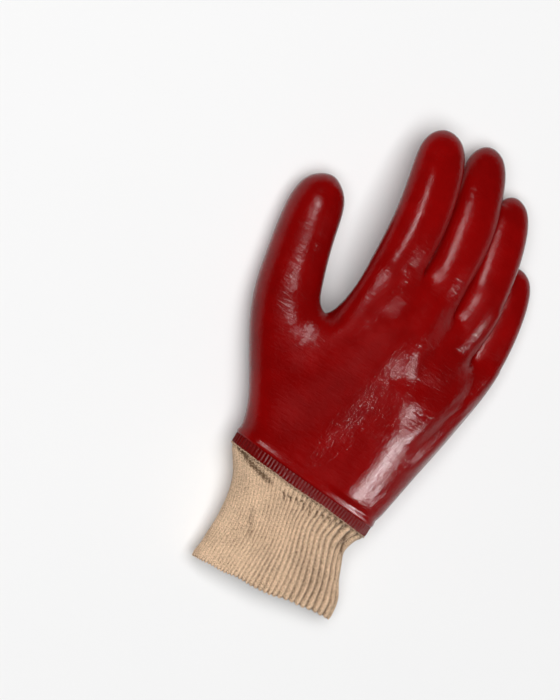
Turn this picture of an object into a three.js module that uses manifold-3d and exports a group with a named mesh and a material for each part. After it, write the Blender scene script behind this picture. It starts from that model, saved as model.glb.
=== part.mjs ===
// Knit-wrist work glove for the right hand: one dipped vinyl coat and one ribbed knit cuff.
// Millimetres, +Z up. The glove lies palm down, its fingers along +Y and its thumb on the -X side.
import * as THREE from "three";
import Module from "manifold-3d";

const wasm = await Module();
wasm.setup();

// Driving sizes of the coat
const coatLength = 125; // seam of the cuff to the web beside the index finger
const seamWidth = 98;
const palmThickness = 46;
const wall = 1.5; // vinyl and the cotton it is dipped on
const fingerLength = 90; // web to tip of the middle finger
const fingerWidth = 30;
const fingerThickness = 21;
const knuckleRise = 37; // height of the index knuckle's middle above the ground
const knuckleLift = 1.1; // how proud each knuckle is, as a share of the finger's half thickness
const webDepth = 5; // how much further back the webs sit on the palm side
const thumbLength = 127; // from the thumb's root in the side of the palm to its tip
const thumbSpread = 34; // how far the thumb's tip stands off the index knuckle
const thumbWidth = 32;
const thumbThickness = 28;
const handShift = 3.2; // middle of the knuckles, measured towards the little finger
const seamShift = -7.6; // middle of the seam, likewise
const seamTilt = -0.05; // how much the seam leans forward towards the thumb

// Driving sizes of the seam, the dipped band below it and the knit cuff
const bandLength = 7.5;
const bandWall = 1.3;
const seamBead = 1.1; // how far the seam stands proud of the coat
const bandRib = 0.4;
const ribCount = 62;
const ribDepth = 0.9;
const cuffLength = 56; // what shows of the cuff
const cuffWall = 2.0;
const tuckLength = 5.5; // how far the cuff reaches up inside the band
const clearance = 0.7; // between the cuff and the band
const gatherDepth = 1.1;
const gatherCount = 18; // gathers where the band draws the cuff in

// Shape of the cross sections
const sectionPower = 2.3; // squareness, 2 being an ellipse
const sectionCorner = 0.9; // how far across the palm its edge columns lie
const ringSwell = 1.09; // makes up for what rounding takes off a ring of eight points
const tipSwell = 5; // the same for a tip
const fingerClearance = 1.12; // 1 would let neighbouring fingers touch

// Fingers, as shares of the finger sizes. Rise is a share of knuckleRise, tip the height of the
// fingertip's middle as a share of fingerThickness, drift its lean to the thumb as one of fingerLength.
const fingers = [
  { length: 0.885, width: 1.03, thickness: 1.0, rise: 1.0, tip: 0.95, drift: 0.125 },
  { length: 0.99, width: 0.95, thickness: 1.0, rise: 0.85, tip: 0.53, drift: 0.135 },
  { length: 0.97, width: 0.88, thickness: 0.95, rise: 0.71, tip: 0.48, drift: 0.13 },
  { length: 0.785, width: 0.8, thickness: 0.86, rise: 0.43, tip: 0.26, drift: 0.085 },
];
// How far up the coat each column of the knuckle row lies: even columns are webs, odd ones knuckles.
const knuckleLine = [0.97, 1.0, 1.0, 0.985, 0.92, 0.87, 0.79, 0.74, 0.69];
// Rings of a finger: along its length, and its girth there.
const fingerRings = [
  { along: 0.17, girth: 0.97 },
  { along: 0.36, girth: 0.98 },
  { along: 0.56, girth: 0.98 },
  { along: 0.75, girth: 0.95 },
  { along: 0.9, girth: 0.84 },
  { along: 0.985, girth: 0.54 },
];
// Cross sections of the palm, from the seam to just short of the knuckles. Radial and ulnar are how
// far each edge has moved from its place at the seam to its place at the knuckles, roll is in degrees.
const palmRows = [
  { along: 0.0, radial: 0.0, ulnar: 0.0, thickness: 0.85, rise: 0.4, roll: 0 },
  { along: 0.12, radial: -0.6, ulnar: 0.14, thickness: 0.92, rise: 0.41, roll: 2, thumb: true },
  { along: 0.38, radial: -0.5, ulnar: 0.36, thickness: 0.98, rise: 0.49, roll: 7 },
  { along: 0.64, radial: 0.5, ulnar: 0.66, thickness: 0.88, rise: 0.58, roll: 12 },
  { along: 0.83, radial: 0.85, ulnar: 0.9, thickness: 0.71, rise: 0.61, roll: 14 },
];
// The thumb grows from two cells of the palm's side, above the row marked for it.
const thumbRow = palmRows.findIndex((row) => row.thumb);
// Rings of the thumb: out is a share of thumbSpread, heading its turn towards -X in degrees.
const thumbRings = [
  { out: 0.48, along: 0.39, rise: 0.64, heading: 50, width: 1.25, thickness: 1.16 },
  { out: 0.67, along: 0.515, rise: 0.56, heading: 32, width: 1.17, thickness: 1.1 },
  { out: 0.79, along: 0.64, rise: 0.5, heading: 20, width: 1.06, thickness: 1.04 },
  { out: 0.91, along: 0.76, rise: 0.48, heading: 13, width: 1.02, thickness: 1.02 },
  { out: 0.975, along: 0.855, rise: 0.47, heading: 5, width: 0.99, thickness: 0.99 },
  { out: 1.005, along: 0.935, rise: 0.47, heading: 0, width: 0.86, thickness: 0.87 },
  { out: 0.995, along: 0.985, rise: 0.47, heading: -3, width: 0.54, thickness: 0.58 },
];
// Broad folds and dents of the coat: across is a share of half the seam's width, along one of
// coatLength, reach and lift shares of palmThickness. Side 1 is the back of the hand, -1 the palm.
const folds = [
  { side: 1, across: [-0.72, -0.5], along: [0.3, 0.72], reach: 0.24, lift: -0.07 },
  { side: 1, across: [0.72, 0.62], along: [0.08, 0.5], reach: 0.26, lift: 0.035 },
  { side: 1, across: [0.1, 0.2], along: [0.12, 0.5], reach: 0.4, lift: -0.03 },
  { side: 1, across: [-0.27, -0.2], along: [0.86, 1.0], reach: 0.14, lift: -0.06 },
  { side: 1, across: [0.35, 0.42], along: [0.78, 0.92], reach: 0.14, lift: -0.06 },
  { side: -1, across: [0.0, 0.1], along: [0.3, 0.7], reach: 0.5, lift: -0.14 },
  { side: -1, across: [-0.6, -0.45], along: [0.1, 0.6], reach: 0.16, lift: -0.08 },
];
// Rings of the seam's bead from the coat down: rise above the seam and out from it, as shares of seamBead.
const beadRings = [
  { rise: 2.2, out: -0.68 },
  { rise: 1.6, out: 0.09 },
  { rise: 0.5, out: 1 },
  { rise: -0.6, out: 1 },
  { rise: -1.5, out: 0 },
];
// The cuff's cross sections below the band: along is a share of cuffLength, width and thickness
// shares of the seam's, shift a share of seamWidth, tilt how much the edge leans forward. The inner face
// runs through the rows marked inside.
const cuffRows = [
  { along: 0.03, width: 0.985, thickness: 0.98, shift: 0.003, tilt: -0.05, rib: 0.6, gather: 0.3 },
  { along: 0.1, width: 0.915, thickness: 0.95, shift: 0.015, tilt: -0.03, rib: 1, gather: 1, inside: true },
  { along: 0.25, width: 0.84, thickness: 0.89, shift: 0.037, tilt: -0.02, rib: 1, gather: 0.8 },
  { along: 0.4, width: 0.83, thickness: 0.84, shift: 0.07, tilt: 0.01, rib: 1, gather: 0.3, inside: true },
  { along: 0.58, width: 0.855, thickness: 0.77, shift: 0.11, tilt: 0.05, rib: 1, gather: 0 },
  { along: 0.8, width: 0.91, thickness: 0.67, shift: 0.145, tilt: 0.09, rib: 1, gather: 0, inside: true },
  { along: 1.0, width: 0.93, thickness: 0.595, shift: 0.165, tilt: 0.12, rib: 0.8, gather: 0, inside: true },
];

const looks = {
  coat: { color: 0x780a0b, roughness: 0.3, metalness: 0 },
  knit: { color: 0xc9ab8b, roughness: 0.92, metalness: 0 },
};

const up = new THREE.Vector3(0, 0, 1);
const radians = THREE.MathUtils.degToRad;
const mix = THREE.MathUtils.lerp;
const mean = (list) => list.reduce((sum, p) => sum.add(p), new THREE.Vector3()).divideScalar(list.length);
const average = (list) => list.reduce((a, b) => a + b, 0) / list.length;
const cornerShare = 2 ** (-1 / sectionPower);
// Height of a section's upper half at a place across it, both as shares of its half sizes.
const arch = (across) => (1 - Math.abs(across) ** sectionPower) ** (1 / sectionPower);
const yAt = (along) => bandLength + along * coatLength;

// A net of four-sided faces that is rounded off later.
class Cage {
  constructor() {
    this.points = [];
    this.faces = [];
  }
  add(point) {
    return this.points.push(point) - 1;
  }
  // Grows side faces from a ring of eight points through further rings and closes the tip.
  growLimb(root, rings, tip) {
    let last = root;
    for (const ring of rings) {
      const next = ring.map((point) => this.add(point));
      last.forEach((a, i) => {
        const j = (i + 1) % last.length;
        this.faces.push([a, last[j], next[j], next[i]]);
      });
      last = next;
    }
    const end = this.add(tip);
    for (let i = 0; i < last.length; i += 2) {
      this.faces.push([last[i], last[i + 1], end, last.at(i - 1)]);
    }
  }
}

// Eight points round a flattened section, from its upper left corner on.
function ringAt(centre, heading, halfWidth, halfThickness) {
  const across = new THREE.Vector3().crossVectors(heading, up).normalize();
  const rise = new THREE.Vector3().crossVectors(across, heading).normalize();
  const corners = [[-1, 1], [0, 1], [1, 1], [1, 0], [1, -1], [0, -1], [-1, -1], [-1, 0]];
  return corners.map(([u, v]) => {
    const share = ringSwell * (u && v ? cornerShare : 1);
    const point = centre.clone().addScaledVector(across, u * share * halfWidth);
    return point.addScaledVector(rise, v * share * halfThickness);
  });
}

// Middles of the four knuckles, each lower than the last, spaced so that oval fingers stay clear.
function placeKnuckles() {
  const places = [];
  for (const finger of fingers) {
    const z = finger.rise * knuckleRise;
    const halfWidth = (finger.width * fingerWidth) / 2;
    const halfThickness = (finger.thickness * fingerThickness) / 2;
    const before = places.at(-1);
    const drop = before ? (before.z - z) / (before.halfThickness + halfThickness) : 0;
    const step = before ? (before.halfWidth + halfWidth) * Math.sqrt(fingerClearance - drop ** 2) : 0;
    places.push({ finger, x: (before?.x ?? 0) + step, z, halfWidth, halfThickness });
  }
  const shift = handShift - (places[0].x + places.at(-1).x) / 2;
  return places.map((place) => ({ ...place, x: place.x + shift }));
}

const knuckles = placeKnuckles();
const columns = knuckleLine.map((_, k) => k);
const lastColumn = columns.length - 1;
const seamEdges = [seamShift - seamWidth / 2, seamShift + seamWidth / 2];
const knuckleEdges = [knuckles[0].x - knuckles[0].halfWidth, knuckles.at(-1).x + knuckles.at(-1).halfWidth];

// The row of points over the knuckles and webs: web points are shared by neighbouring fingers.
function knuckleRow() {
  return columns.map((k) => {
    const y = yAt(knuckleLine[k]);
    if (k % 2) {
      const { x, z, halfThickness } = knuckles[(k - 1) / 2];
      const lift = halfThickness * knuckleLift;
      return { top: new THREE.Vector3(x, y, z + lift), bottom: new THREE.Vector3(x, y - webDepth, z - lift) };
    }
    const sides = [knuckles[k / 2 - 1], knuckles[k / 2]].filter(Boolean);
    const inset = k === 0 ? 1 : k === lastColumn ? -1 : 0;
    const edge = k === 0 ? knuckleEdges[0] : knuckleEdges[1];
    const x = inset ? edge : (sides[0].x + sides[0].halfWidth + sides[1].x - sides[1].halfWidth) / 2;
    const z = average(sides.map((side) => side.z));
    const shoulder = average(sides.map((side) => side.halfThickness)) * cornerShare;
    const cornerX = x + inset * sides[0].halfWidth * (1 - cornerShare);
    return {
      top: new THREE.Vector3(cornerX, y, z + shoulder),
      middle: new THREE.Vector3(x, y, z),
      bottom: new THREE.Vector3(cornerX, y - webDepth, z - shoulder),
    };
  });
}

// Rows of points from the seam to just short of the knuckles, the same columns all the way.
function palmSections(overKnuckles) {
  const knuckleMiddle = average(knuckleEdges);
  const knuckleHalf = knuckleEdges[1] - knuckleMiddle;
  const cornerAngle = Math.acos(sectionCorner);
  return palmRows.map((row, r) => {
    const left = mix(seamEdges[0], knuckleEdges[0], row.radial);
    const right = mix(seamEdges[1], knuckleEdges[1], row.ulnar);
    const place = (across, height, k) => {
      const dx = (across * (right - left)) / 2;
      const dz = (height * row.thickness * palmThickness) / 2;
      const roll = radians(row.roll);
      const x = (left + right) / 2 + dx * Math.cos(roll) + dz * Math.sin(roll);
      const z = row.rise * palmThickness + dz * Math.cos(roll) - dx * Math.sin(roll);
      const lean = seamTilt * (x - seamShift) * (1 - row.along);
      return new THREE.Vector3(x, yAt(row.along * knuckleLine[k]) + lean, z);
    };
    return columns.map((k) => {
      const even = -Math.cos(mix(cornerAngle, Math.PI - cornerAngle, k / lastColumn));
      const overKnuckle = (overKnuckles[k].top.x - knuckleMiddle) / knuckleHalf;
      const across = mix(even, overKnuckle, row.along);
      const cell = { top: place(across, arch(across), k), bottom: place(across, -arch(across), k) };
      const inThumb = k === 0 && r === thumbRow + 1;
      if (k === 0 && !inThumb) cell.middle = place(-1, 0, k);
      if (k === lastColumn) cell.middle = place(1, 0, k);
      return cell;
    });
  });
}

// A finger's middle line: straight out of the knuckle, then down and towards the thumb.
function fingerLine({ finger, x, z }, i) {
  const start = new THREE.Vector3(x, yAt(average([knuckleLine[2 * i], knuckleLine[2 * i + 2]])), z);
  const reach = finger.length * fingerLength - tipSwell;
  const bend = start.clone().add(new THREE.Vector3(0, reach / 2, 0));
  const tipX = x - finger.drift * fingerLength;
  const tip = new THREE.Vector3(tipX, start.y + reach, finger.tip * fingerThickness);
  return new THREE.QuadraticBezierCurve3(start, bend, tip);
}

function buildCage() {
  const cage = new Cage();
  const crest = knuckleRow();
  const rows = [...palmSections(crest), crest];
  const ids = rows.map((row) =>
    row.map((cell) => Object.fromEntries(Object.entries(cell).map(([key, p]) => [key, cage.add(p)]))),
  );
  for (let r = 0; r < palmRows.length; r++) {
    const [near, far] = [ids[r], ids[r + 1]];
    for (let k = 0; k < lastColumn; k++) {
      cage.faces.push([near[k].top, near[k + 1].top, far[k + 1].top, far[k].top]);
      cage.faces.push([near[k + 1].bottom, near[k].bottom, far[k].bottom, far[k + 1].bottom]);
    }
    const [nearSide, farSide] = [near[lastColumn], far[lastColumn]];
    cage.faces.push([nearSide.top, nearSide.middle, farSide.middle, farSide.top]);
    cage.faces.push([nearSide.middle, nearSide.bottom, farSide.bottom, farSide.middle]);
    if (r === thumbRow || r === thumbRow + 1) continue;
    cage.faces.push([near[0].middle, near[0].top, far[0].top, far[0].middle]);
    cage.faces.push([near[0].bottom, near[0].middle, far[0].middle, far[0].bottom]);
  }

  knuckles.forEach((knuckle, i) => {
    const [a, b, c] = ids.at(-1).slice(2 * i, 2 * i + 3);
    const root = [a.top, b.top, c.top, c.middle, c.bottom, b.bottom, a.bottom, a.middle];
    const line = fingerLine(knuckle, i);
    const rings = fingerRings.map(({ along, girth }) => {
      const [halfWidth, halfThickness] = [knuckle.halfWidth * girth, knuckle.halfThickness * girth];
      return ringAt(line.getPoint(along), line.getTangent(along), halfWidth, halfThickness);
    });
    cage.growLimb(root, rings, line.getPoint(1).addScaledVector(line.getTangent(1), tipSwell));
  });

  const [a, b, c] = ids.slice(thumbRow, thumbRow + 3).map((row) => row[0]);
  const root = [a.top, b.top, c.top, c.middle, c.bottom, b.bottom, a.bottom, a.middle];
  const rootY = rows[thumbRow][0].middle.y;
  const thumbAt = (out, along, rise) =>
    new THREE.Vector3(knuckleEdges[0] - out * thumbSpread, rootY + along * thumbLength, rise * thumbThickness);
  const rings = thumbRings.map(({ out, along, rise, heading, width, thickness }) => {
    const way = new THREE.Vector3(-Math.sin(radians(heading)), Math.cos(radians(heading)), 0);
    return ringAt(thumbAt(out, along, rise), way, (width * thumbWidth) / 2, (thickness * thumbThickness) / 2);
  });
  cage.growLimb(root, rings, thumbAt(1, 1 + tipSwell / thumbLength, thumbRings.at(-1).rise));
  return cage;
}

// One Catmull-Clark step. The open edge at the seam keeps to its own smooth curve.
function roundOff({ points, faces }) {
  const edgeKey = (a, b) => (a < b ? `${a}_${b}` : `${b}_${a}`);
  const centres = faces.map((face) => mean(face.map((i) => points[i])));
  const edges = new Map();
  const around = points.map(() => ({ centres: [], keys: new Set() }));
  faces.forEach((face, n) =>
    face.forEach((a, i) => {
      const b = face[(i + 1) % face.length];
      const key = edgeKey(a, b);
      if (!edges.has(key)) edges.set(key, { ends: [points[a], points[b]], sides: [] });
      edges.get(key).sides.push(centres[n]);
      around[a].centres.push(centres[n]);
      around[a].keys.add(key);
      around[b].keys.add(key);
    }),
  );
  const made = points.map((point, i) => {
    const own = [...around[i].keys].map((key) => edges.get(key));
    const open = own.filter((edge) => edge.sides.length === 1).map((edge) => mean(edge.ends));
    if (open.length) return point.clone().lerp(mean(open), 0.5);
    const moved = mean(around[i].centres).addScaledVector(mean(own.map((edge) => mean(edge.ends))), 2);
    return moved.addScaledVector(point, own.length - 3).divideScalar(own.length);
  });
  for (const edge of edges.values()) {
    const closed = edge.sides.length === 2;
    edge.id = made.push(mean(closed ? [...edge.ends, ...edge.sides] : edge.ends)) - 1;
  }
  const split = faces.flatMap((face, n) => {
    const centre = made.push(centres[n]) - 1;
    const edgeId = (i) => edges.get(edgeKey(face.at(i), face[(i + 1 + face.length) % face.length])).id;
    return face.map((a, i) => [a, edgeId(i), centre, edgeId(i - 1)]);
  });
  return { points: made, faces: split };
}

function pointNormals({ points, faces }) {
  const normals = points.map(() => new THREE.Vector3());
  for (const [a, b, c, d] of faces) {
    const normal = points[c].clone().sub(points[a]).cross(points[d].clone().sub(points[b]));
    [a, b, c, d].forEach((i) => normals[i].add(normal));
  }
  return normals.map((normal) => normal.normalize());
}

// Lifts or sinks the points near each fold's line, on its own side of the hand.
function foldSkin(net) {
  const normals = pointNormals(net);
  const foot = (share, along) => new THREE.Vector3(seamShift + (share * seamWidth) / 2, yAt(along), 0);
  const lines = folds.map(({ across, along }) => new THREE.Line3(...across.map((u, i) => foot(u, along[i]))));
  net.points.forEach((point, i) => {
    const flat = point.clone().setZ(0);
    folds.forEach(({ side, reach, lift }, f) => {
      const facing = Math.max(side * normals[i].z, 0);
      const away = lines[f].closestPointToPoint(flat, true, new THREE.Vector3()).distanceTo(flat);
      const share = facing * Math.exp(-((away / (reach * palmThickness)) ** 2));
      point.addScaledVector(normals[i], share * lift * palmThickness);
    });
  });
  return net;
}

// The open edge of a net as a ring of point numbers, in order round it.
function openEdge({ faces }) {
  const arrows = faces.flatMap((face) => face.map((a, i) => [a, face[(i + 1) % face.length]]));
  const known = new Set(arrows.map(String));
  const next = new Map(arrows.filter(([a, b]) => !known.has(`${b},${a}`)));
  const ring = [next.keys().next().value];
  while (next.get(ring.at(-1)) !== ring[0]) ring.push(next.get(ring.at(-1)));
  return ring;
}

function solidOf(points, faces) {
  const positions = new Float32Array(points.flatMap((point) => point.toArray()));
  const triangles = new Uint32Array(faces.flatMap(([a, b, c, d]) => [a, b, c, a, c, d]));
  return new wasm.Manifold(new wasm.Mesh({ numProp: 3, vertProperties: positions, triVerts: triangles }));
}

// The hand's skin, a second skin one wall further in, and a rim joining them at the seam.
function hollowHand(skin) {
  const normals = pointNormals(skin);
  const count = skin.points.length;
  const inner = skin.points.map((point, i) => {
    const moved = point.clone().addScaledVector(normals[i], -wall);
    return moved.setZ(Math.max(moved.z, wall));
  });
  const edge = openEdge(skin);
  edge.forEach((i) => inner[i].setY(skin.points[i].y));
  const lining = skin.faces.map((face) => face.map((i) => i + count).reverse());
  const rim = edge.map((a, i) => {
    const b = edge[(i + 1) % edge.length];
    return [b, a, a + count, b + count];
  });
  return solidOf([...skin.points, ...inner], [...skin.faces, ...lining, ...rim]);
}

// A closed tube wall through rings of equally many points, down its outside and back up its inside.
function tubeThrough(rings) {
  const n = rings[0].length;
  const faces = rings.flatMap((ring, r) => {
    const next = ((r + 1) % rings.length) * n;
    return ring.map((_, i) => {
      const j = (i + 1) % n;
      return [r * n + j, r * n + i, next + i, next + j];
    });
  });
  return solidOf(rings.flat(), faces);
}

// The seam's ring of points, two for each rib, moved to another place and size and set out or in.
function ringLike(seam, { y, width = 1, thickness = 1, shift = 0, tilt = seamTilt, out = 0, rib = 0, gather = 0 }) {
  const middle = seamShift + shift * seamWidth;
  const placed = seam.map((p) => new THREE.Vector3(middle + (p.x - seamShift) * width, 0, p.z * thickness));
  return placed.map((p, i) => {
    const along = placed[(i + 1) % placed.length].clone().sub(placed.at(i - 1)).normalize();
    const ripple = Math.cos((2 * Math.PI * gatherCount * i) / placed.length) - 1;
    const offset = out - (i % 2) * rib + (ripple * gather * gatherDepth) / 2;
    const moved = p.clone().addScaledVector(new THREE.Vector3(-along.z, 0, along.x), offset);
    return new THREE.Vector3(moved.x, y + tilt * (moved.x - middle), Math.max(moved.z, 0));
  });
}

function seamAndBand(seam) {
  const bead = beadRings.map(({ rise, out }) => ({ y: bandLength + rise * seamBead, out: out * seamBead }));
  const band = [
    { y: bandLength / 2, out: 0, rib: bandRib },
    { y: 0, out: 0, rib: bandRib },
    { y: 0, out: -bandWall },
    { y: bead[0].y, out: -bandWall },
  ];
  return tubeThrough([...bead, ...band].map((ring) => ringLike(seam, ring)));
}

function knitCuff(seam) {
  const tucked = -bandWall - clearance;
  const outer = cuffRows.map((row) => ({
    ...row,
    y: -row.along * cuffLength,
    out: tucked * (1 - row.along),
    rib: row.rib * ribDepth,
  }));
  const inside = outer.filter((row) => row.inside).reverse();
  const inner = inside.map((row) => ({ ...row, out: row.out - cuffWall, rib: 0 }));
  const top = [
    { y: tuckLength, out: tucked - cuffWall },
    { y: tuckLength, out: tucked },
  ];
  return tubeThrough([...top, ...outer, ...inner].map((ring) => ringLike(seam, ring)));
}

function meshOf(name, solid, look) {
  const { numProp, vertProperties, triVerts } = solid.getMesh();
  const geometry = new THREE.BufferGeometry();
  geometry.setAttribute("position", new THREE.BufferAttribute(vertProperties, numProp));
  geometry.setIndex(new THREE.BufferAttribute(triVerts, 1));
  geometry.computeVertexNormals();
  const mesh = new THREE.Mesh(geometry, new THREE.MeshStandardMaterial(look));
  mesh.name = name;
  return mesh;
}

const skin = foldSkin(roundOff(buildCage()));
skin.points.forEach((point) => point.setZ(Math.max(point.z, 0)));
const seamPoints = openEdge(skin).map((i) => skin.points[i].clone());
const seamRing = new THREE.CatmullRomCurve3(seamPoints, true).getSpacedPoints(2 * ribCount).slice(0, -1);

const glove = new THREE.Group();
glove.add(meshOf("coated_hand", hollowHand(skin).add(seamAndBand(seamRing)), looks.coat));
glove.add(meshOf("knit_cuff", knitCuff(seamRing), looks.knit));

// The ground is z 0, and the middle of the glove's box is x 0, y 0.
const box = new THREE.Box3().setFromObject(glove);
const middle = box.getCenter(new THREE.Vector3());
glove.position.set(-middle.x, -middle.y, -box.min.z);

export default glove;
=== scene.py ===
import math

import bmesh
import bpy
import numpy as np
from mathutils import Matrix, Vector


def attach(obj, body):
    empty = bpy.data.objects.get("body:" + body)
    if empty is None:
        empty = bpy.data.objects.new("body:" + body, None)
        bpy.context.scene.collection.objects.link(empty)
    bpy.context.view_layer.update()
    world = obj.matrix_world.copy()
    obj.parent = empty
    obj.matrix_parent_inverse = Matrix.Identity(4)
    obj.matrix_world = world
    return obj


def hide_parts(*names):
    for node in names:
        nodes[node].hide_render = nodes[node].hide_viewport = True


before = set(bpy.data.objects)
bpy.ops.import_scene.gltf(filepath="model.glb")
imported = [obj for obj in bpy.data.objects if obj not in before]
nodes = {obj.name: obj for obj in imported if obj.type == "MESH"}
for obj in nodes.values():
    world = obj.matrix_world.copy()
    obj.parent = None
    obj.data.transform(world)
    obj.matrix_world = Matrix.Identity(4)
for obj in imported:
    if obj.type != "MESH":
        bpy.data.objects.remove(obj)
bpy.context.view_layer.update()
mm = 0.001
print("frame loaded:", sorted(nodes))

# The seam's oval, where the coat ends and the ribbed band begins
seam = {
    "middle": 15.6 * mm,
    "y": -68.74 * mm,
    "halfWidth": 49 * mm,
    "halfThickness": 19.55 * mm,
    "height": 18.4 * mm,
    "power": 2.3,
    "corner": 0.9,      # how far across its edge columns lie
    "columns": 8,
    "tilt": -0.05,      # how much the seam leans forward towards the thumb
    "curveSteps": 60,   # points of the smooth curve between two of the oval's own
    "ringSteps": 1240,
}


def smooth(low, high, x):
    t = np.clip((x - low) / (high - low), 0, 1)
    return t * t * (3 - 2 * t)


def unit(vectors):
    return vectors / np.maximum(np.linalg.norm(vectors, axis=1, keepdims=True), 1e-12)


# Points spread evenly round a closed curve
def evenly(closed, count):
    length = np.concatenate([[0], np.cumsum(np.linalg.norm(np.diff(closed, axis=0), axis=1))])
    want = np.arange(count) / count * length[-1]
    return np.stack([np.interp(want, length, closed[:, k]) for k in range(closed.shape[1])], 1)


# Evenly spaced points (x, z) round the seam, from the thumb's side over the back of the hand
def seamOval(count):
    s = seam
    edge = math.acos(s["corner"])
    across = [-math.cos(edge + (math.pi - 2 * edge) * k / s["columns"]) for k in range(s["columns"] + 1)]
    top = [(a, (1 - abs(a) ** s["power"]) ** (1 / s["power"])) for a in across]
    under = [(a, -h) for a, h in reversed(top)]
    ring = np.array([(-1, 0), *top, (1, 0), *under])
    net = ring * [s["halfWidth"], s["halfThickness"]] + [s["middle"], s["height"]]
    n = len(net)
    steps = np.arange(s["curveSteps"] * n) / s["curveSteps"]
    i = steps.astype(int)
    t = (steps - i)[:, None]
    a, b, c, d = [net[(i + k) % n] for k in (-1, 0, 1, 2)]
    curve = (1 - t) ** 3 * a + (3 * t**3 - 6 * t**2 + 4) * b
    curve = (curve + (3 * (t + t**2 - t**3) + 1) * c + t**3 * d) / 6
    curve[:, 1] = np.maximum(curve[:, 1], 0)
    return evenly(np.vstack([curve, curve[:1]]), count)


# A smooth curve through a table's column
def through(rows, key, t):
    x = np.array([row["along"] for row in rows])
    y = np.array([row[key] for row in rows], float)
    slope = np.gradient(y, x)
    i = np.clip(np.searchsorted(x, t, side="right") - 1, 0, len(x) - 2)
    h = x[i + 1] - x[i]
    s = np.clip((t - x[i]) / h, 0, 1)
    near = (1 + 2 * s) * (1 - s) ** 2 * y[i] + s * (1 - s) ** 2 * h * slope[i]
    return near + s * s * (3 - 2 * s) * y[i + 1] + s * s * (s - 1) * h * slope[i + 1]


# Slow uneven waves round a tube, the same at both ends of the turn
def drift(u, v, seed):
    total = 0
    for k, turns in enumerate((3, 5, 8, 13)):
        phase = seed * 1.7 + k * 2.3
        total = total + np.sin(2 * math.pi * turns * u + phase + (3 + k) * v) / (k + 1.5)
    return total


# Signed distance from each point to a path, and the share of the way along it
def alongPath(points, path):
    best = np.full(len(points), np.inf)
    signed = np.zeros(len(points))
    share = np.zeros(len(points))
    path = np.array(path, float)
    count = len(path) - 1
    for k in range(count):
        a, b = path[k], path[k + 1]
        way = b - a
        t = np.clip((points - a) @ way / (way @ way), 0, 1)
        off = points - a - t[:, None] * way
        away = np.hypot(off[:, 0], off[:, 1])
        side = np.sign(way[0] * off[:, 1] - way[1] * off[:, 0])
        near = away < best
        best = np.where(near, away, best)
        signed = np.where(near, side * away, signed)
        share = np.where(near, (k + t) / count, share)
    return signed, share


# Rounds off a path's corners
def curved(path, times=3):
    path = np.array(path, float)
    for _ in range(times):
        cut = np.empty((2 * len(path), 2))
        cut[0], cut[-1] = path[0], path[-1]
        cut[1:-1:2] = 0.75 * path[:-1] + 0.25 * path[1:]
        cut[2::2] = 0.25 * path[:-1] + 0.75 * path[1:]
        path = cut
    return path


# One output socket, so that shader maths reads as arithmetic
class Signal:
    def __init__(self, maker, socket):
        self.maker = maker
        self.socket = socket

    def __add__(self, other):
        return self.maker.calc("ADD", self, other)

    def __radd__(self, other):
        return self.maker.calc("ADD", other, self)

    def __sub__(self, other):
        return self.maker.calc("SUBTRACT", self, other)

    def __rsub__(self, other):
        return self.maker.calc("SUBTRACT", other, self)

    def __mul__(self, other):
        return self.maker.calc("MULTIPLY", self, other)

    def __rmul__(self, other):
        return self.maker.calc("MULTIPLY", other, self)

    def __pow__(self, other):
        return self.maker.calc("POWER", self, other)

    def fraction(self):
        return self.maker.calc("FRACT", self)

    def size(self):
        return self.maker.calc("ABSOLUTE", self)

    def clipped(self):
        return self.maker.calc("MINIMUM", self.maker.calc("MAXIMUM", self, 0), 1)


class Maker:
    def __init__(self, name):
        self.material = bpy.data.materials.new(name)
        self.material.use_nodes = True
        self.tree = self.material.node_tree
        self.tree.nodes.clear()

    # Adds a node: its own settings first, then the value or link of each socket named or numbered
    def node(self, kind, settings=None, sockets=None, output=0):
        made = self.tree.nodes.new(kind)
        for key, value in (settings or {}).items():
            setattr(made, key, value)
        for key, value in (sockets or {}).items():
            socket = made.inputs[key]
            if isinstance(value, Signal):
                self.tree.links.new(value.socket, socket)
            else:
                socket.default_value = value
        return Signal(self, made.outputs[output]) if made.outputs else made

    def calc(self, operation, *values):
        return self.node("ShaderNodeMath", {"operation": operation}, dict(enumerate(values)))

    def mixed(self, share, a, b):
        colours = {0: share.clipped(), 6: (*a, 1), 7: (*b, 1)}
        return self.node("ShaderNodeMix", {"data_type": "RGBA"}, colours, 2)

    # Object coordinates, stretched and turned
    def place(self, scale=(1, 1, 1), turn=(0, 0, 0)):
        here = self.node("ShaderNodeTexCoord", output=3)
        return self.node("ShaderNodeMapping", {}, {"Vector": here, "Scale": scale, "Rotation": turn})

    def speckle(self, vector, scale, detail=2, rough=0.5, warp=0):
        sockets = {"Vector": vector, "Scale": scale, "Detail": detail, "Roughness": rough, "Distortion": warp}
        return self.node("ShaderNodeTexNoise", {}, sockets)

    def bump(self, height, strength, distance):
        return self.node("ShaderNodeBump", {}, {"Strength": strength, "Distance": distance, "Height": height})

    def finish(self, sockets):
        shader = self.node("ShaderNodeBsdfPrincipled", {}, sockets)
        self.node("ShaderNodeOutputMaterial", {}, {"Surface": shader})
        return self.material


# Grain of the dipped vinyl: how many specks a metre holds, along each axis where it is stretched
vinylGrain = {
    "clouds": 16,
    "mottle": 105,
    "grain": 700,
    "streak": (1050, 210, 1050),
    "crinkle": (170, 620, 170),
    "crinkleTurn": 0.5,
    "relief": 0.6 * mm,
}
coatFinish = {
    "deep": (0.112, 0.0006, 0.0006),
    "bright": (0.272, 0.0010, 0.0010),
    "roughness": 0.17,
    "strength": 0.28,
    "shine": 0.2,
}
# The band's vinyl is the coat's made darker: painted shade for the shade under the seam's overhanging bead
bandShadedFinish = {
    "deep": (0.06, 0.0004, 0.0004),
    "bright": (0.175, 0.0008, 0.0008),
    "roughness": 0.34,
    "strength": 0.3,
    "shine": 0.08,
}


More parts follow.
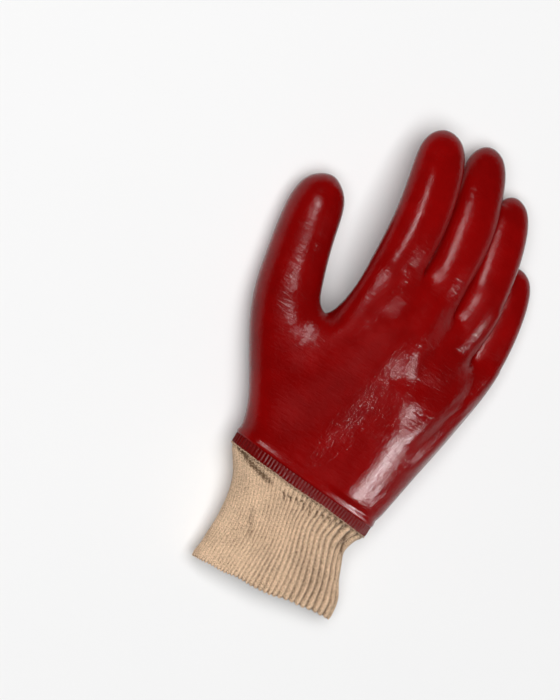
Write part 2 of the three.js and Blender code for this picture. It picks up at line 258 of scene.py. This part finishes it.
# Glossy dipped vinyl, the knitted cotton under it showing as fine grain
def vinylMaterial(name, look):
    g = vinylGrain
    m = Maker(name)
    here = m.place()
    clouds = m.speckle(here, g["clouds"], 3, 0.55)
    mottle = m.speckle(here, g["mottle"], 3, 0.6)
    grain = m.speckle(here, g["grain"], 3, 0.6, 0.4)
    streak = m.speckle(m.place(g["streak"]), 1, 2, 0.55, 1.2)
    crinkle = m.speckle(m.place(g["crinkle"], (0, 0, g["crinkleTurn"])), 1, 2, 0.5, 0.8)
    relief = grain * 0.25 + streak * 0.8 + crinkle * 1.1 + mottle * 0.8
    return m.finish({
        "Base Color": m.mixed(clouds * 1.1 + mottle * 0.5 - 0.3, look["deep"], look["bright"]),
        "Roughness": look["roughness"] + (mottle - 0.5) * 0.12 + (grain - 0.5) * 0.08,
        "Normal": m.bump(relief, look["strength"], g["relief"]),
        "IOR": 1.5,
        "Specular IOR Level": look["shine"],
    })


# Wales are the columns of stitches round the cuff, courses the rows along it
knitLook = {
    "light": (0.96, 0.675, 0.45),
    "dark": (0.13, 0.073, 0.038),
    "wales": 70,
    "courses": 56,
    "wobble": 340,      # unevenness of the stitches
    "fibres": 1500,
    "shadeDots": 800,        # painted shade: dark gaps between the loops, in the grooves
    "clouds": 75,
    "relief": 0.6 * mm,
}


# Cream ribbed cotton: each wale a column of small V stitches, with painted shade darkening the grooves
def knitMaterial():
    look = knitLook
    m = Maker("ribbedCotton")
    uv = m.node("ShaderNodeUVMap", {"uv_map": "UVMap"})
    u = m.node("ShaderNodeSeparateXYZ", {}, {0: uv}, 0)
    v = m.node("ShaderNodeSeparateXYZ", {}, {0: uv}, 1)
    here = m.place()
    wobble = m.speckle(here, look["wobble"], 3, 0.6) - 0.5
    wale = (u * look["wales"] + wobble * 0.55).fraction()
    side = (wale - 0.5).size()
    loop = (v * look["courses"] + side * 1.3 + wobble * 0.9).fraction()
    bulge = 1 - (loop - 0.5).size() * 2
    strand = 1 - (side * 2) ** 2.2
    stitch = (strand * 0.55 + bulge * 0.6).clipped()
    fibres = m.speckle(here, look["fibres"], 3, 0.65)
    shadeDots = m.speckle(here, look["shadeDots"], 2, 0.6)
    clouds = m.speckle(here, look["clouds"], 3, 0.55)
    paintedShade = m.node("ShaderNodeAttribute", {"attribute_name": "paintedShade"}, output=2)
    # Painted shade: the attribute read above, broken up by the dark speckle, darkens the rib grooves, the
    # slits, the creases and the knit next to the band
    tone = stitch * 0.34 + fibres * 1.9 + (clouds - 0.5) * 0.5 - 0.4 - paintedShade * shadeDots * 1.5
    return m.finish({
        "Base Color": m.mixed(tone, look["dark"], look["light"]),
        "Roughness": 0.95,
        "Normal": m.bump(stitch + fibres * 0.4, 0.8, look["relief"]),
        "Specular IOR Level": 0.15,
        "Sheen Weight": 0.1,
    })


# Raised cotton inside the coat
liningLook = {
    "dark": (0.33, 0.23, 0.15),
    "light": (0.66, 0.50, 0.36),
    "nap": 1500,
    "clouds": 60,
    "relief": 0.5 * mm,
}


def liningMaterial():
    look = liningLook
    m = Maker("cottonLining")
    here = m.place()
    nap = m.speckle(here, look["nap"], 3, 0.6)
    clouds = m.speckle(here, look["clouds"], 2, 0.5)
    return m.finish({
        "Base Color": m.mixed(nap * 0.6 + clouds * 0.5 - 0.1, look["dark"], look["light"]),
        "Roughness": 0.95,
        "Normal": m.bump(nap, 0.5, look["relief"]),
    })


vinyl = vinylMaterial("glossyVinyl", coatFinish)
# The band's material carries painted shade, as a darker copy of the coat's vinyl
dipped = vinylMaterial("dippedRib", bandShadedFinish)
knit = knitMaterial()
lining = liningMaterial()
print("materials made")


def link(name, mesh, *materials):
    piece = bpy.data.objects.new(name, mesh)
    bpy.context.scene.collection.objects.link(piece)
    for material in materials:
        mesh.materials.append(material)
    mesh.shade_smooth()
    return piece


# Makes the modifiers' result the piece's own mesh
def bake(piece):
    evaluated = piece.evaluated_get(bpy.context.evaluated_depsgraph_get())
    mesh = bpy.data.meshes.new_from_object(evaluated)
    piece.modifiers.clear()
    piece.data = mesh


def coordinates(mesh):
    co = np.empty(len(mesh.vertices) * 3, np.float32)
    mesh.vertices.foreach_get("co", co)
    return co.reshape(-1, 3).astype(float)


def normals(mesh):
    out = np.empty(len(mesh.vertices) * 3, np.float32)
    mesh.vertex_normals.foreach_get("vector", out)
    return out.reshape(-1, 3).astype(float)


# Gives a piece its wall, its body in the frame and its material slot
def settle(piece, thickness, replaced, inside=0):
    wall = piece.modifiers.new("wall", "SOLIDIFY")
    wall.thickness = thickness
    wall.offset = -1
    wall.use_even_offset = False
    wall.material_offset = inside
    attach(piece, "root")
    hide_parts(replaced)


# The coat's outer skin: a copy of the solid's, with the seam's bead drawn from its open edge
coat = {
    "firstRow": 3.3 * mm,       # what lies nearer the seam is drawn anew
    # Each ring of the bead: its rise over the seam's line and how far out it lies
    "bead": [(2.6, 0.1), (1.2, 0.5), (-0.2, 0.8), (-1.4, 0.5), (-1.9, -0.3), (-1.6, -1.2)],
    "ovalSteps": 720,
    "wall": 1.4 * mm,
}


def seamLine(x):
    return seam["y"] + seam["tilt"] * (x - seam["middle"])


def coatSkin():
    bm = bmesh.new()
    bm.from_mesh(nodes["coated_hand"].data)
    bmesh.ops.remove_doubles(bm, verts=bm.verts, dist=1e-5)
    low = [f for f in bm.faces if min(v.co.y - seamLine(v.co.x) for v in f.verts) < coat["firstRow"]]
    bmesh.ops.delete(bm, geom=low, context="FACES")
    tip = max(bm.verts, key=lambda v: v.co.y)
    outer, ahead = {tip}, [tip]
    while ahead:
        for edge in ahead.pop().link_edges:
            for v in edge.verts:
                if v not in outer:
                    outer.add(v)
                    ahead.append(v)
    bmesh.ops.delete(bm, geom=[v for v in bm.verts if v not in outer], context="VERTS")
    bmesh.ops.join_triangles(bm, faces=bm.faces, angle_face_threshold=1.2, angle_shape_threshold=3.1)
    oval = seamOval(coat["ovalSteps"])
    along = np.roll(oval, -1, 0) - np.roll(oval, 1, 0)
    outward = unit(np.stack([-along[:, 1], along[:, 0]], 1))
    edges = [e for e in bm.edges if e.is_boundary]
    for rise, out in coat["bead"]:
        made = bmesh.ops.extrude_edge_only(bm, edges=edges)["geom"]
        for v in [g for g in made if isinstance(g, bmesh.types.BMVert)]:
            k = int(np.argmin(np.sum((oval - [v.co.x, v.co.z]) ** 2, 1)))
            x, z = oval[k] + outward[k] * out * mm
            v.co = (x, seamLine(x) + rise * mm, max(z, 0))
        edges = [g for g in made if isinstance(g, bmesh.types.BMEdge)]
    mesh = bpy.data.meshes.new("coatSkin")
    bm.to_mesh(mesh)
    print("coat net:", len(bm.faces), "faces,", sum(len(f.verts) == 3 for f in bm.faces), "of three sides")
    bm.free()
    return link("vinylCoat", mesh, vinyl, lining)


hand = coatSkin()
rounding = hand.modifiers.new("rounding", "SUBSURF")
rounding.levels = rounding.render_levels = 2
bake(hand)
print("coat rounded:", len(hand.data.vertices), "points")

# Ridges and creases on the back of the hand, in millimetres: height, reach to the left and to the
# right, then the path seen from above, walked away from the seam
ridges = {
    "back": (2.8, 15, 12, [(31, -82), (33, -58), (35, -36), (33, -14), (28, 6)]),
    "towards middle": (1.0, 6, 4, [(31, 2), (20, 16), (17, 34), (16, 52)]),
    "towards little": (1.5, 6, 7, [(42, -26), (49, -8), (57, 12), (64, 38)]),
    "outer side": (1.6, 4.5, 5, [(58, -34), (65, -10), (69, 14), (73, 40)]),
    "thumb crest": (1.1, 7, 5, [(-49, 8), (-55, 26), (-60, 44), (-66, 66)]),
    "thumb foot": (0.55, 5, 4, [(-28, -30), (-37, -16), (-44, -4), (-49, 10)]),
    "crotch": (0.3, 5, 7, [(-30, -28), (-24, -10), (-19, 6), (-15, 28)]),
    "index": (1.1, 4, 7, [(-22, 50), (-19, 66), (-22, 90), (-28, 114)]),
    "middle": (0.7, 5, 8, [(13, 58), (7, 76), (3, 94), (0, 120)]),
    "ring": (1.2, 3, 6, [(34, 66), (30, 82), (26, 98), (26, 116)]),
    "little": (0.8, 3, 6, [(58, 36), (56, 52), (54, 66)]),
}
# Small wrinkles: the middle of a group, its heading in degrees, how many, then their length, spacing
# and height in millimetres
wrinkles = {
    "thumb foot": ((-40, -6), 60, 5, 15, 3.4, 0.38),
    "thumb root": ((-26, -16), 25, 5, 15, 2.8, 0.24),
    "web": ((-20, 22), -35, 3, 10, 2.8, 0.1),
    "index foot": ((-14, 54), 20, 4, 13, 3.0, 0.12),
    "middle foot": ((14, 58), 70, 3, 12, 3.2, 0.26),
    "ring foot": ((38, 44), 60, 3, 11, 3.0, 0.36),
    "outer side": ((64, 6), 62, 4, 20, 3.6, 0.36),
    "hem left": ((2, -58), -15, 4, 13, 3.2, 0.3),
    "hem right": ((52, -56), 80, 3, 13, 3.6, 0.3),
    "thumb bend": ((-58, 33), -15, 6, 12, 4.0, 0.22),
}
sculpt = {
    "seed": 7,
    "facing": (0.05, 0.5),      # upward share of the normal where the sculpting starts and is full
    "ridgeEnds": 0.22,          # share of a ridge's path over which it fades in and out
    "wrinkleReach": 1.5,
    "troughSide": 2.2,          # how far beside a wrinkle its trough lies
    "troughReach": 1.3,
    "troughDepth": 0.6,         # share of the wrinkle's height
    "dimple": (44, 33),
    "dimpleDepth": 0.9,
    "dimpleReach": 4,
    "hemFree": 6 * mm,          # nothing is sculpted nearer the seam
}


# Turns the groups of small wrinkles into single paths, each bent and placed a little unevenly
def wrinklePaths():
    chance = np.random.default_rng(sculpt["seed"])
    for at, degrees, count, length, gap, lift in wrinkles.values():
        heading = math.radians(degrees)
        for k in range(count):
            turn = heading + chance.uniform(-0.22, 0.22)
            way = np.array([math.cos(turn), math.sin(turn)])
            across = np.array([-math.sin(heading), math.cos(heading)])
            step = (k - (count - 1) / 2) * gap + chance.uniform(-0.6, 0.6)
            middle = np.array(at) + across * step + way * chance.uniform(-2, 2)
            half = length * chance.uniform(0.3, 0.55)
            bend = across * chance.uniform(-1.6, 1.6)
            path = curved([middle - way * half, middle + bend, middle + way * half])
            yield path, lift * chance.uniform(0.6, 1.2)


def sculptCoat(piece):
    s = sculpt
    mesh = piece.data
    co, normal = coordinates(mesh), normals(mesh)
    seen = co[:, :2] / mm
    facing = smooth(*s["facing"], normal[:, 2])
    lift = np.zeros(len(co))
    for height, left, right, path in ridges.values():
        signed, share = alongPath(seen, curved(path))
        reach = np.where(signed > 0, left, right)
        fade = smooth(0, s["ridgeEnds"], share) * smooth(1, 1 - s["ridgeEnds"], share)
        ended = np.exp(-((signed / reach) ** 2))
        lift += height * ended * np.where((share > 0) & (share < 1), fade, 0)
    for path, height in wrinklePaths():
        signed, share = alongPath(seen, path)
        fade = np.sin(math.pi * np.clip(share, 0, 1)) ** 0.7
        ripple = np.exp(-((signed / s["wrinkleReach"]) ** 2))
        trough = np.exp(-(((signed - s["troughSide"]) / s["troughReach"]) ** 2))
        lift += height * (ripple - s["troughDepth"] * trough) * fade
    away = np.hypot(*(seen - s["dimple"]).T)
    lift -= s["dimpleDepth"] * np.exp(-((away / s["dimpleReach"]) ** 2))
    hemFree = smooth(0, s["hemFree"], co[:, 1] - seamLine(co[:, 0]))
    co += normal * (lift * mm * facing * hemFree)[:, None]
    mesh.vertices.foreach_set("co", co.astype(np.float32).ravel())
    mesh.update()


sculptCoat(hand)
settle(hand, coat["wall"], "coated_hand", 1)
print("coat sculpted")


# A grid rolled into a tube. Place takes shares round and along and gives the points, phase gives the
# share of the way round that the stitches follow, marks are attributes, each from the same shares
def sleeve(name, around, rows, place, material, phase=lambda u: u, marks=None):
    bm = bmesh.new()
    bmesh.ops.create_grid(bm, x_segments=around, y_segments=rows, size=0.5)
    u, v = np.clip(np.array([(p.co.x + 0.5, p.co.y + 0.5) for p in bm.verts]).T, 0, 1)
    stitched = phase(u)
    uv = bm.loops.layers.uv.new("UVMap")
    bm.verts.index_update()
    for face in bm.faces:
        for loop in face.loops:
            k = loop.vert.index
            loop[uv].uv = (stitched[k], v[k])
    for key, rule in (marks or {}).items():
        layer = bm.verts.layers.float.new(key)
        for p, value in zip(bm.verts, rule(u, v)):
            p[layer] = value
    for p, point in zip(bm.verts, place(u, v)):
        p.co = point
    bmesh.ops.remove_doubles(bm, verts=bm.verts, dist=1e-6)
    bmesh.ops.recalc_face_normals(bm, faces=bm.faces)
    mesh = bpy.data.meshes.new(name)
    bm.to_mesh(mesh)
    bm.free()
    return link(name, mesh, material)


# Points and outward directions of a ring shaped as the seam, at shares round it
def ringPoints(u, width=1, thickness=1, shift=0):
    fine = seamOval(seam["ringSteps"])
    fine = np.vstack([fine, fine[:1]])
    steps = np.linspace(0, 1, len(fine))
    x = np.interp(u, steps, fine[:, 0])
    z = np.interp(u, steps, fine[:, 1])
    du = 0.5 / seam["ringSteps"]
    ax, bx = [np.interp((u + s * du) % 1, steps, fine[:, 0]) for s in (-1, 1)]
    az, bz = [np.interp((u + s * du) % 1, steps, fine[:, 1]) for s in (-1, 1)]
    dx, dz = (bx - ax) * width, (bz - az) * thickness
    long = np.maximum(np.hypot(dx, dz), 1e-9)
    x = seam["middle"] + shift + (x - seam["middle"]) * width
    return x, z * thickness, -dz / long, dx / long


# The ribbed band below the seam, dipped with the coat, in millimetres
band = {
    "length": 7.5,
    "rise": 0.9,        # how far it goes up behind the bead
    "ribs": 104,
    "rib": 0.5,
    "sunk": 0.3,        # how far inside the seam's oval it lies
    "tuckedEdge": 0.25,
    "uneven": 0.12,
    "scallop": 0.35,
    "edgeDrift": 0.35,
    "wall": 0.9,
    "around": 936,
    "rows": 18,
}


def bandWave(u):
    return (0.5 + 0.5 * np.cos(2 * math.pi * (band["ribs"] * u + band["uneven"] * drift(u, 0, 1)))) ** 0.7


def bandPlace(u, v):
    b = band
    x, z, nx, nz = ringPoints(u)
    wave = bandWave(u)
    body = smooth(0, 0.25, v) * smooth(1, 0.8, v)
    low = smooth(0.3, 0, v)
    out = -b["sunk"] + b["rib"] * (wave - 0.7) * (0.35 + 0.65 * body) - b["tuckedEdge"] * smooth(0.15, 0, v)
    out = (out + b["uneven"] * drift(u, 2 * v, 2) * body) * mm
    edge = b["scallop"] * wave + b["edgeDrift"] * drift(u, 0, 3)
    y = seamLine(x) + (-b["length"] + v * (b["length"] + b["rise"]) - edge * low) * mm
    return np.stack([x + nx * out, y, np.maximum(z + nz * out, 0.0)], 1)


dippedBand = sleeve("dippedBand", band["around"], band["rows"], bandPlace, dipped)
settle(dippedBand, band["wall"] * mm, "coated_hand")
print("band made")

# The knit cuff, in millimetres
cuff = {
    "length": 56,
    "tuck": 4,
    "wall": 1.5,
    "girth": 200,
    "seamWidth": 98,
    "ribs": 70,
    "rib": 1.3,
    "uneven": 32,       # how many more ribs a turn holds where they are closest
    "closest": 0.0,     # share round the cuff of that place
    "ribDrift": 0.16,
    "gathers": 18,
    "gather": 0.45,
    "sag": 0.4,         # slow waves of the knit between the band and the open edge
    "curl": 0.5,        # how far the open edge turns in
    "scallop": 0.85,
    "edgeDrift": 0.75,
    "around": 760,
    "rowsAlong": 60,
}
# Its cross sections: along is a share of its length, width and thickness are shares of the seam's,
# shift is a share of the seam's width, out is in millimetres
cuffKeys = ("along", "width", "thickness", "shift", "tilt", "out", "gather")
cuffTable = [
    (-0.08, 1.0, 1.0, 0.0, -0.05, -2.0, 0.0),
    (0.0, 1.0, 1.0, 0.0, -0.05, -1.7, 0.0),
    (0.03, 0.99, 0.985, 0.003, -0.05, -1.25, 0.4),
    (0.1, 0.93, 0.95, 0.014, -0.03, -1.2, 1.0),
    (0.25, 0.845, 0.89, 0.037, -0.02, -1.2, 0.5),
    (0.4, 0.83, 0.84, 0.07, 0.01, -1.0, 0.2),
    (0.58, 0.855, 0.77, 0.11, 0.05, -0.7, 0.0),
    (0.8, 0.91, 0.67, 0.145, 0.09, -0.3, 0.0),
    (1.0, 0.93, 0.595, 0.165, 0.12, 0.0, 0.0),
]
cuffRows = [dict(zip(cuffKeys, row)) for row in cuffTable]
# Slits where the knit is drawn in: first and last are shares round and along, the rest millimetres
slits = {
    "first": (0.19, 0.12),
    "last": (0.38, 0.05),
    "count": 10,
    "length": 7.0,
    "lean": 2.2,        # how far towards the thumb's side a slit begins
    "depth": 1.0,
    "reach": 0.42,
}
# Longer folds, from one pair of such shares to another
creases = [
    {"from": (0.02, 0.0), "to": (0.15, 0.1), "depth": 0.8, "reach": 1.3},
    {"from": (0.4, 0.04), "to": (0.46, 0.34), "depth": 0.7, "reach": 1.1},
    {"from": (0.1, 0.36), "to": (0.13, 0.62), "depth": 0.25, "reach": 1.8},
]


def ribPhase(u):
    swing = np.sin(2 * math.pi * (u - cuff["closest"])) + math.sin(2 * math.pi * cuff["closest"])
    return u + cuff["uneven"] / cuff["ribs"] * swing / (2 * math.pi)


def ribWave(u, along):
    phase = cuff["ribs"] * ribPhase(u) + cuff["ribDrift"] * drift(u, 1.5 * along, 4)
    return (0.5 + 0.5 * np.cos(2 * math.pi * phase)) ** 0.6


# How wide and deep the ribs are: 0 where they are closest, 1 on the far side
def ribSize(u):
    return 0.5 - 0.5 * np.cos(2 * math.pi * (u - cuff["closest"]))


def cuffAlong(v):
    return 1 - v * (1 + cuff["tuck"] / cuff["length"])


# Depth in millimetres of the slits and creases
def cuffCuts(u, along):
    scale = np.array([cuff["girth"], cuff["length"]])
    spread = np.stack([u, along], 1) * scale
    s = slits
    first, last = np.array(s["first"]) * scale, np.array(s["last"]) * scale
    cuts = []
    for k in range(s["count"]):
        middle = first + (last - first) * k / (s["count"] - 1)
        half = s["length"] * (0.4 + 0.16 * math.sin(5.1 * k))
        bend = 0.5 + 0.5 * math.sin(2.4 * k)
        path = [middle - [s["lean"] + bend, 0.5 * half], middle - [0.4, 0.15 * half], middle + [0.2, half]]
        cuts.append((path, s["depth"], s["reach"]))
    for crease in creases:
        a, b = np.array(crease["from"]) * scale, np.array(crease["to"]) * scale
        cuts.append(([a, (a + b) / 2 + [0, 1.2], b], crease["depth"], crease["reach"]))
    total = np.zeros(len(u))
    for path, depth, reach in cuts:
        signed, share = alongPath(spread, curved(path, 2))
        total += depth * np.exp(-((signed / reach) ** 2)) * np.sin(math.pi * np.clip(share, 0, 1)) ** 0.6
    return total


# Painted shade for the knit's colour: darker in the rib grooves, more where the ribs are wide, in the slits
# and creases, and where the cuff goes in under the band
def cuffPaintedShade(u, v):
    along = cuffAlong(v)
    groove = (1 - ribWave(u, along)) * (0.45 + 0.55 * ribSize(u))
    return np.clip(groove + 1.1 * cuffCuts(u, along) + 0.5 * smooth(0.05, 0, along), 0, 1.6)


def cuffPlace(u, v):
    c = cuff
    along = cuffAlong(v)
    get = {key: through(cuffRows, key, along) for key in cuffKeys[1:]}
    shift = get["shift"] * c["seamWidth"] * mm
    x, z, nx, nz = ringPoints(u, get["width"], get["thickness"], shift)
    wave = ribWave(u, along)
    out = get["out"] + c["rib"] * (0.3 + 0.8 * ribSize(u)) * (wave - 0.7)
    gathers = np.sin(2 * math.pi * c["gathers"] * u) * smooth(0, 0.05, along)
    out = out + get["gather"] * c["gather"] * gathers
    out = out + c["sag"] * drift(u, 4 * along, 5) * smooth(0.05, 0.3, along) - cuffCuts(u, along)
    end = smooth(0.97, 1.0, along)
    out = (out - c["curl"] * end) * mm
    y = seam["y"] - (band["length"] + along * c["length"]) * mm + get["tilt"] * (x - seam["middle"] - shift)
    low = smooth(0.86, 1.0, along)
    y = y - (c["scallop"] * wave * end + c["edgeDrift"] * drift(u, 0, 6) * low) * mm
    return np.stack([x + nx * out, y, np.maximum(z + nz * out, 0.02 * mm)], 1)


# The cuff's painted shade, kept as an attribute for its material
marks = {"paintedShade": cuffPaintedShade}
wrist = sleeve("knitWrist", cuff["around"], cuff["rowsAlong"], cuffPlace, knit, ribPhase, marks)
settle(wrist, cuff["wall"] * mm, "knit_cuff")
print("cuff made")

# Small cream loops peeping out below the band, one to a rib, in millimetres
loops = {
    "radius": 0.27,
    "width": 0.8,       # share of a rib's width
    "drop": 0.8,
    "sunk": 0.6,
    "steps": 9,
    "sides": 6,
    "stitch": (0.004, 0.008),   # the piece of the knit's pattern on each face
}


def edgeLoops():
    bm = bmesh.new()
    uv = bm.loops.layers.uv.new("UVMap")
    pitch = 1 / band["ribs"]
    wide, tall = loops["stitch"]
    for k in range(band["ribs"]):
        turns = np.linspace(-1, 1, loops["steps"])
        u = ((k + 0.5 + turns * loops["width"] / 2) * pitch) % 1
        x, z, nx, nz = ringPoints(u)
        drop = loops["drop"] * np.cos(turns * math.pi / 2) ** 0.6 * (0.8 + 0.35 * math.sin(3.7 * k))
        out = (-loops["sunk"] + 0.2 * np.cos(turns * math.pi / 2)) * mm
        y = seamLine(x) - (band["length"] - 0.1 + drop + band["edgeDrift"] * drift(u, 0, 3)) * mm
        line = np.stack([x + nx * out, y, np.maximum(z + nz * out, 1.5 * loops["radius"] * mm)], 1)
        ahead = unit(np.gradient(line, axis=0))
        outward = np.stack([nx, np.zeros_like(nx), nz], 1)
        side = unit(np.cross(ahead, outward))
        rise = unit(np.cross(side, ahead))
        rings = []
        for i in range(loops["steps"]):
            ring = []
            for s in range(loops["sides"]):
                angle = 2 * math.pi * s / loops["sides"]
                away = side[i] * math.cos(angle) + rise[i] * math.sin(angle)
                ring.append(bm.verts.new(line[i] + away * loops["radius"] * mm))
            rings.append(ring)
        for a, b in zip(rings, rings[1:]):
            for s in range(loops["sides"]):
                t = (s + 1) % loops["sides"]
                face = bm.faces.new([a[s], a[t], b[t], b[s]])
                for loop, place in zip(face.loops, [(0, 0), (wide, 0), (wide, tall), (0, tall)]):
                    loop[uv].uv = place
        for end in (rings[0], rings[-1]):
            bm.faces.new(end)
    bmesh.ops.recalc_face_normals(bm, faces=bm.faces)
    mesh = bpy.data.meshes.new("edgeLoops")
    bm.to_mesh(mesh)
    bm.free()
    return link("edgeLoops", mesh, knit)


fringe = edgeLoops()
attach(fringe, "root")
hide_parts("knit_cuff")
print("edge loops made")

# Floor, lights and camera
stage = {"floor": 0.86, "size": 3, "world": 0.03}


def floorPiece():
    bm = bmesh.new()
    bmesh.ops.create_grid(bm, x_segments=1, y_segments=1, size=stage["size"])
    mesh = bpy.data.meshes.new("floor")
    bm.to_mesh(mesh)
    bm.free()
    m = Maker("paleFloor")
    tone = m.speckle(m.place(), 6, 2, 0.5)
    colour = m.mixed(tone, [stage["floor"] * 0.98] * 3, [stage["floor"]] * 3)
    matt = m.finish({"Base Color": colour, "Roughness": 0.9, "Specular IOR Level": 0.0})
    return link("floor", mesh, matt)


floor = floorPiece()


# Two lamps give highlights alone, and the third gives all the other light
lamps = {
    "outerBox": {"at": (0.92, -0.24, 0.76), "size": (0.24, 0.5), "power": 21, "highlight": True},
    "thumbBox": {"at": (-0.44, 0.36, 1.12), "size": (0.22, 0.5), "power": 8.5, "highlight": True},
    "fill": {"at": (-0.75, 0.2, 3.7), "size": (3.6, 3.6), "power": 198, "highlight": False},
}


# The turn of a lamp or camera that looks away from back, with right to its right
def turned(right, back):
    return Matrix((right, back.cross(right), back)).transposed()


def softbox(name, lamp):
    light = bpy.data.lights.new(name, "AREA")
    light.shape = "RECTANGLE"
    light.size, light.size_y = lamp["size"]
    light.energy = lamp["power"]
    piece = bpy.data.objects.new(name, light)
    bpy.context.scene.collection.objects.link(piece)
    back = Vector(lamp["at"]).normalized()
    right = Vector((0, 1, 0)).cross(back).normalized()
    piece.matrix_world = Matrix.Translation(lamp["at"]) @ turned(right, back).to_4x4()
    piece.visible_glossy = lamp["highlight"]
    piece.visible_diffuse = not lamp["highlight"]


for name, lamp in lamps.items():
    softbox(name, lamp)

world = bpy.data.worlds.new("studio")
world.use_nodes = True
world.node_tree.nodes["Background"].inputs["Color"].default_value = (1, 1, 1, 1)
world.node_tree.nodes["Background"].inputs["Strength"].default_value = stage["world"]
bpy.context.scene.world = world

view = {
    "target": (-37.9 * mm, -18.2 * mm, 20 * mm),
    "distance": 2.1,
    "lens": 200,
    "sensor": 36,
    "reach": 20,
    "right": (0.7887, 0.545, 0.287),
    "up": (-0.5123, 0.839, -0.1864),
}
cameraData = bpy.data.cameras.new("camera")
cameraData.lens = view["lens"]
cameraData.sensor_width = view["sensor"]
cameraData.clip_end = view["reach"]
camera = bpy.data.objects.new("camera", cameraData)
bpy.context.scene.collection.objects.link(camera)
right = Vector(view["right"]).normalized()
back = right.cross(Vector(view["up"])).normalized()
camera.rotation_mode = "QUATERNION"
camera.rotation_quaternion = turned(right, back).to_quaternion()
camera.location = Vector(view["target"]) + back * view["distance"]
bpy.context.scene.camera = camera
bpy.context.scene.view_settings.view_transform = "Standard"
print("lights and camera set")
